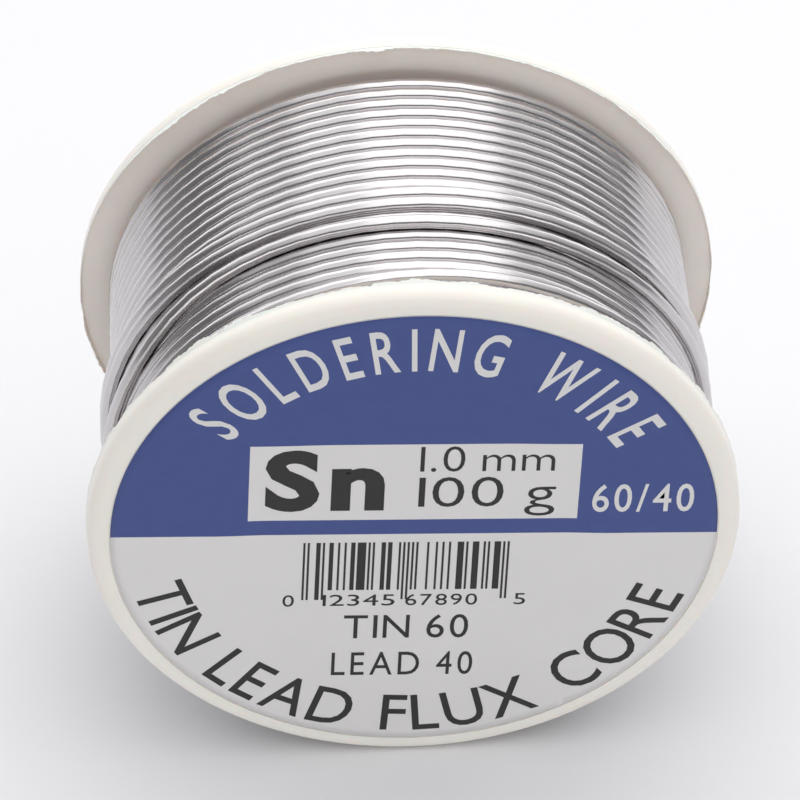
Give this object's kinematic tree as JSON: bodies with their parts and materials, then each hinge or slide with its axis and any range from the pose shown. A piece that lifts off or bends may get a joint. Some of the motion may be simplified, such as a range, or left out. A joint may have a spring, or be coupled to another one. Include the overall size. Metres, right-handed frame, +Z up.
{
  "type": "wire spool",
  "caption": "Small round spool of grey metal wire: two thin white flanges on a hollow barrel, wound full, with a two-tone paper label on one end.",
  "frame": {"origin": "on the ground under the spool's axis, midway between its two end faces", "axes": "+Z up, Y along the spool's axis with the labelled end towards -Y, +X to the right seen from the label"},
  "size_m": [0.045, 0.0264, 0.045],
  "materials": {
    "spool_plastic": "satin",
    "barrel_plastic": "satin",
    "label_paper": "satin",
    "solder": "satin",
    "flux": "gloss"
  },
  "bodies": {
    "root": {"front_flange": "spool_plastic", "rear_flange": "spool_plastic", "barrel_tube": "barrel_plastic", "front_label": "label_paper", "wire_layer_1": "solder", "wire_layer_2": "solder", "wire_layer_3": "solder", "wire_layer_4": "solder", "wire_layer_5": "solder", "wire_layer_6": "solder", "wire_top_band": "solder", "wire_crossing_turn": "solder", "wire_last_turn": "solder", "wire_start_tail": "solder", "wire_free_end": "solder", "flux_core": "flux"}
  },
  "joints": []
}
